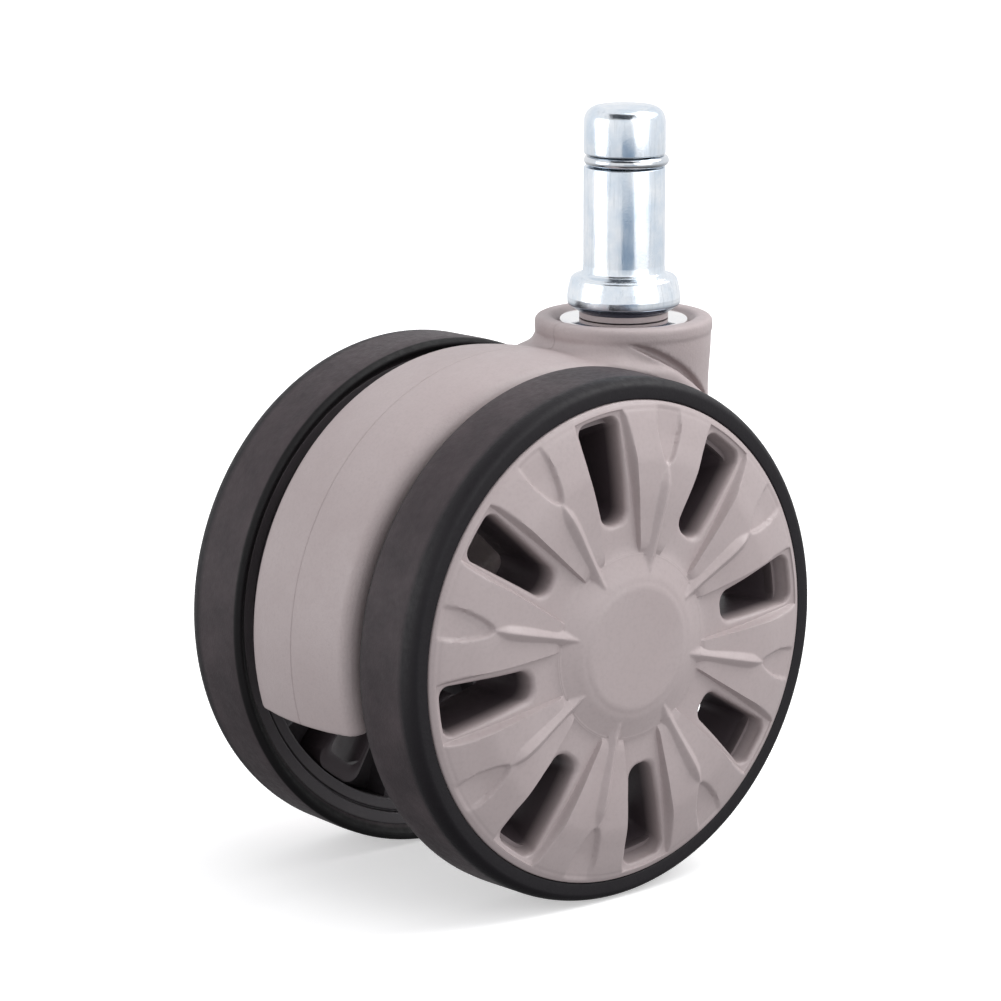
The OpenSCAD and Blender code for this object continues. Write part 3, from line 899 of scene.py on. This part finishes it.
def mould_line(piece):
    """A fine groove along the middle plane, where the two halves of the mould met."""
    half_w, depth = 0.13, 0.26
    bm = bmesh.new()
    bm.from_mesh(piece.data)
    for place in (HOOD_MIDDLE - half_w, HOOD_MIDDLE, HOOD_MIDDLE + half_w):
        geometry = bm.verts[:] + bm.edges[:] + bm.faces[:]
        bmesh.ops.bisect_plane(bm, geom=geometry, plane_co=(0, place * MM, 0), plane_no=(0, 1, 0),
                               dist=0.002 * MM)
    bm.normal_update()
    for vert in bm.verts:
        if abs(vert.co.y - HOOD_MIDDLE * MM) > 0.003 * MM:
            continue
        arm = Vector((vert.co.x * M - AXLE_X, 0, vert.co.z * M - AXLE_Z))
        outside = arm.length > HOOD_R - 0.5 and arm.x < 12.0
        on_boss = vert.co.x * M < -BOSS_R * 0.8 and vert.co.z * M > -12.0
        if outside or on_boss:
            vert.co -= vert.normal * depth * MM
    for face in bm.faces:
        face.smooth = True
    bm.to_mesh(piece.data)
    bm.free()


# ---- Pieces ----

stem()
grip_ring()
swivel_bush()
housing()
for side_name, side_sign in SIDES:
    tyre(side_name, side_sign)
    wheel_core(side_name, side_sign)
    cover(side_name, side_sign)

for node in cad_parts.values():
    slot_name = node.data.materials[0].name.split(".")[0] if node.data.materials else ""
    node.data.materials.clear()
    node.data.materials.append(MATERIALS.get(slot_name, MATERIALS["dark_steel"]))


# ---- Floor, lights and camera ----

def floor():
    """A plain pale floor under the wheels, flat and four metres to each side."""
    half = 4000.0
    mesh = bpy.data.meshes.new("floor")
    corners = [(-half, -half), (half, -half), (half, half), (-half, half)]
    mesh.from_pydata([(x * MM, y * MM, FLOOR_Z * MM) for x, y in corners], [], [(0, 1, 2, 3)])
    plane = bpy.data.objects.new("floor", mesh)
    bpy.context.scene.collection.objects.link(plane)
    n = Nodes("floor")
    shade = n.span(n.noise(300.0, 2.0), 0.3, 0.7, 0.0, 1.0)
    mesh.materials.append(n.finish(
        Base_Color=n.mix(shade, linear(252, 252, 252), linear(250, 250, 250)), Roughness=0.9,
        Specular_IOR_Level=0.1, Emission_Color=(1.0, 1.0, 1.0, 1.0), Emission_Strength=0.42))
    plane.visible_diffuse = False
    plane.visible_glossy = False


TARGET = Vector((-17.0, 3.2, -26.9)) * MM
DISTANCE = 507.8 * MM


def looking(azimuth, elevation):
    """Direction from the object towards a place at this azimuth and elevation."""
    a, e = math.radians(azimuth), math.radians(elevation)
    return Vector((math.sin(a) * math.cos(e), -math.cos(a) * math.cos(e), math.sin(e)))


def aim(thing, place, target):
    thing.location = place
    thing.rotation_euler = (target - place).to_track_quat("-Z", "Y").to_euler()


def soft_box(name, azimuth, elevation, distance, size, power, colour=(1, 1, 1)):
    """A square area light that faces the object."""
    data = bpy.data.lights.new(name, "AREA")
    data.shape = "RECTANGLE"
    data.size, data.size_y = size
    data.energy = power
    data.color = colour
    lamp = bpy.data.objects.new(name, data)
    bpy.context.scene.collection.objects.link(lamp)
    aim(lamp, TARGET + looking(azimuth, elevation) * distance, TARGET)


def card(name, azimuth, elevation, distance, size, dark, light):
    """A card that is seen only in reflections, facing the stem, for the bands on its plating."""
    half_w, half_h = size[0] / 2, size[1] / 2
    corners = [(-half_w, -half_h), (half_w, -half_h), (half_w, half_h), (-half_w, half_h)]
    mesh = bpy.data.meshes.new(name)
    mesh.from_pydata([(x * MM, y * MM, 0) for x, y in corners], [], [(0, 1, 2, 3)])
    thing = bpy.data.objects.new(name, mesh)
    bpy.context.scene.collection.objects.link(thing)
    aim(thing, looking(azimuth, elevation) * distance * MM, Vector((0, 0, 0)))
    n = Nodes(name)
    shade = n.span(n.noise(30.0, 3.0), 0.35, 0.65, 0.0, 1.0)
    mesh.materials.append(n.finish(Base_Color=n.mix(shade, dark, light), Roughness=0.9))
    thing.visible_camera = False
    thing.visible_diffuse = False
    thing.visible_shadow = False


def camera():
    data = bpy.data.cameras.new("camera")
    data.lens = 150.0
    data.sensor_width = 36.0
    data.clip_start = 0.01
    data.clip_end = 50.0
    view = bpy.data.objects.new("camera", data)
    bpy.context.scene.collection.objects.link(view)
    aim(view, TARGET + looking(-39.955, 12.745) * DISTANCE, TARGET)
    bpy.context.scene.camera = view


def surroundings():
    """An even white studio: pure white behind the object, and greyer below and in reflections."""
    world = bpy.data.worlds.new("studio")
    world.use_nodes = True
    tree = world.node_tree
    tree.nodes.clear()

    def node(kind, **inputs):
        made = tree.nodes.new(kind)
        for key, value in inputs.items():
            socket = made.inputs[key.replace("_", " ")]
            if isinstance(value, bpy.types.NodeSocket):
                tree.links.new(value, socket)
            else:
                socket.default_value = value
        return made

    up = node("ShaderNodeSeparateXYZ", Vector=node("ShaderNodeTexCoord").outputs["Generated"])

    def backdrop(colour, low, high):
        strength = node("ShaderNodeMapRange", Value=up.outputs["Z"], From_Min=-0.75, From_Max=-0.1,
                        To_Min=low, To_Max=high)
        return node("ShaderNodeBackground", Color=colour, Strength=strength.outputs["Result"])

    path = node("ShaderNodeLightPath")
    around = backdrop((0.98, 0.98, 1.0, 1), 0.46, 0.62)
    mirrored = backdrop((0.98, 0.985, 1.0, 1), 0.15, 1.0)
    behind = node("ShaderNodeBackground", Color=(1, 1, 1, 1), Strength=1.0)
    seen = around.outputs[0]
    for ray, other in (("Is Glossy Ray", mirrored), ("Is Camera Ray", behind)):
        choose = tree.nodes.new("ShaderNodeMixShader")
        tree.links.new(path.outputs[ray], choose.inputs[0])
        tree.links.new(seen, choose.inputs[1])
        tree.links.new(other.outputs[0], choose.inputs[2])
        seen = choose.outputs[0]
    out = tree.nodes.new("ShaderNodeOutputWorld")
    tree.links.new(seen, out.inputs[0])
    bpy.context.scene.world = world


floor()
camera()
surroundings()
soft_box("key", 60, 50, 0.9, (0.6, 0.6), 5.0)
soft_box("left", -112, 10, 0.9, (0.6, 0.6), 2.6)
soft_box("overhead", -30, 75, 0.9, (0.5, 0.5), 0.8)
soft_box("front", 8, 18, 0.9, (0.8, 0.8), 2.1)
card("low_card", -30.0, -10.0, 240.0, (160.0, 62.0), linear(138, 160, 182), linear(160, 182, 204))
card("high_card", -56.0, 62.0, 260.0, (240.0, 200.0), linear(34, 40, 48), linear(66, 74, 86))
bpy.context.scene.view_settings.view_transform = "Standard"
